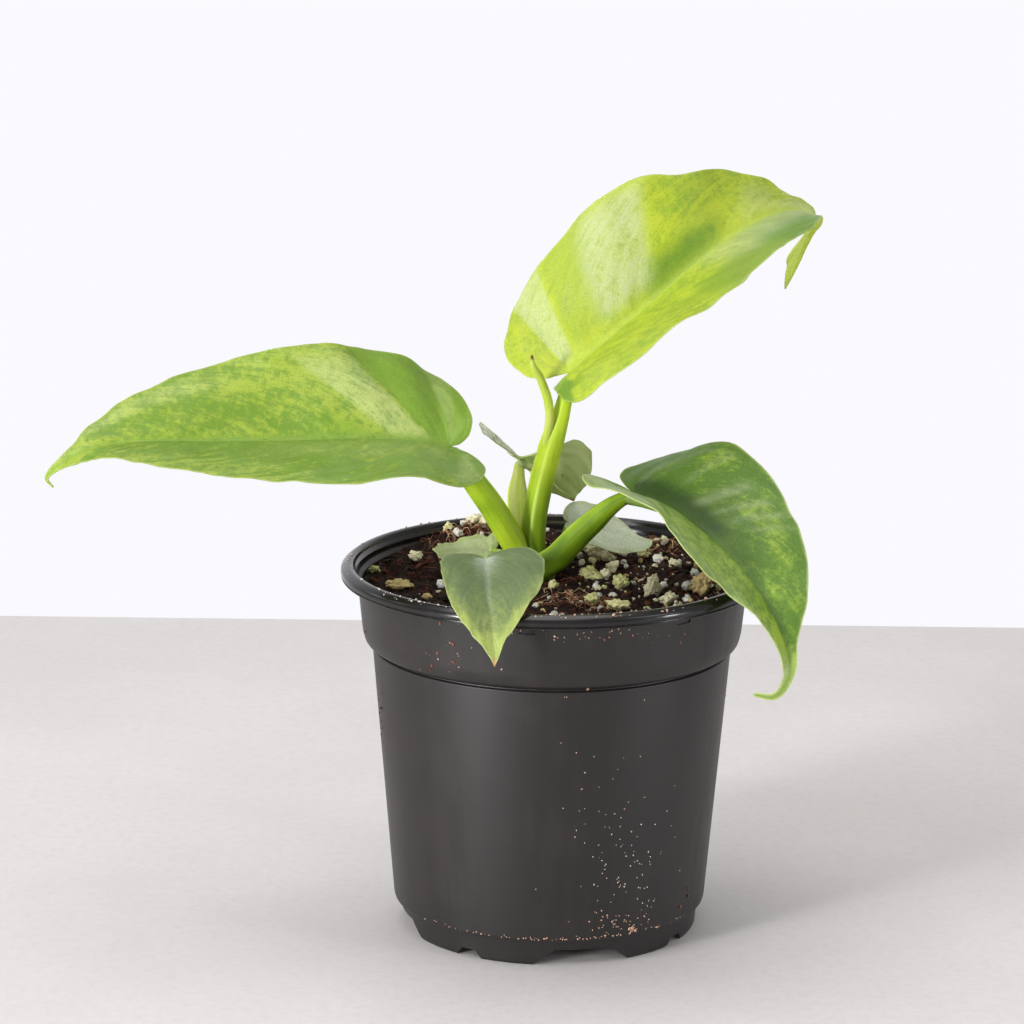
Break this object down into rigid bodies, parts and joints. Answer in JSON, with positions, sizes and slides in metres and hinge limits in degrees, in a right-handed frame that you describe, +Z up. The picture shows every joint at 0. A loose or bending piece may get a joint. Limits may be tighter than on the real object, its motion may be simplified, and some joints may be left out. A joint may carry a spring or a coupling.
{
  "type": "potted aroid house plant",
  "caption": "Young potted aroid with long folded heart-shaped blades, marbled lime and green, on stout petioles in a thin black nursery pot filled with potting mix.",
  "frame": {"origin": "middle of the pot's underside, on the surface it stands on", "axes": "+Z up, +X to the right as in the picture, +Y to the back, away from the viewer"},
  "size_m": [0.2019, 0.1193, 0.1954],
  "materials": {
    "pot": "satin black moulded plastic",
    "soil": "coarse peat, coir, bark and perlite mix",
    "crown": "fleshy stem and roots",
    "leaf": "smooth satin leaf, marbled lime, yellow-green and mid green",
    "old_leaf": "smooth matt older leaf, grey-green",
    "new_leaf": "smooth satin rolled new leaf, lime with a dry brown tip"
  },
  "bodies": {
    "root": {"pot": "pot", "soil": "soil", "crown_and_roots": "crown", "left_leaf": "leaf", "top_leaf": "leaf", "right_leaf": "leaf", "heart_leaf": "old_leaf", "back_leaf": "old_leaf", "small_right_leaf": "old_leaf", "small_left_leaf": "old_leaf", "rolled_new_leaf": "new_leaf"}
  },
  "joints": []
}
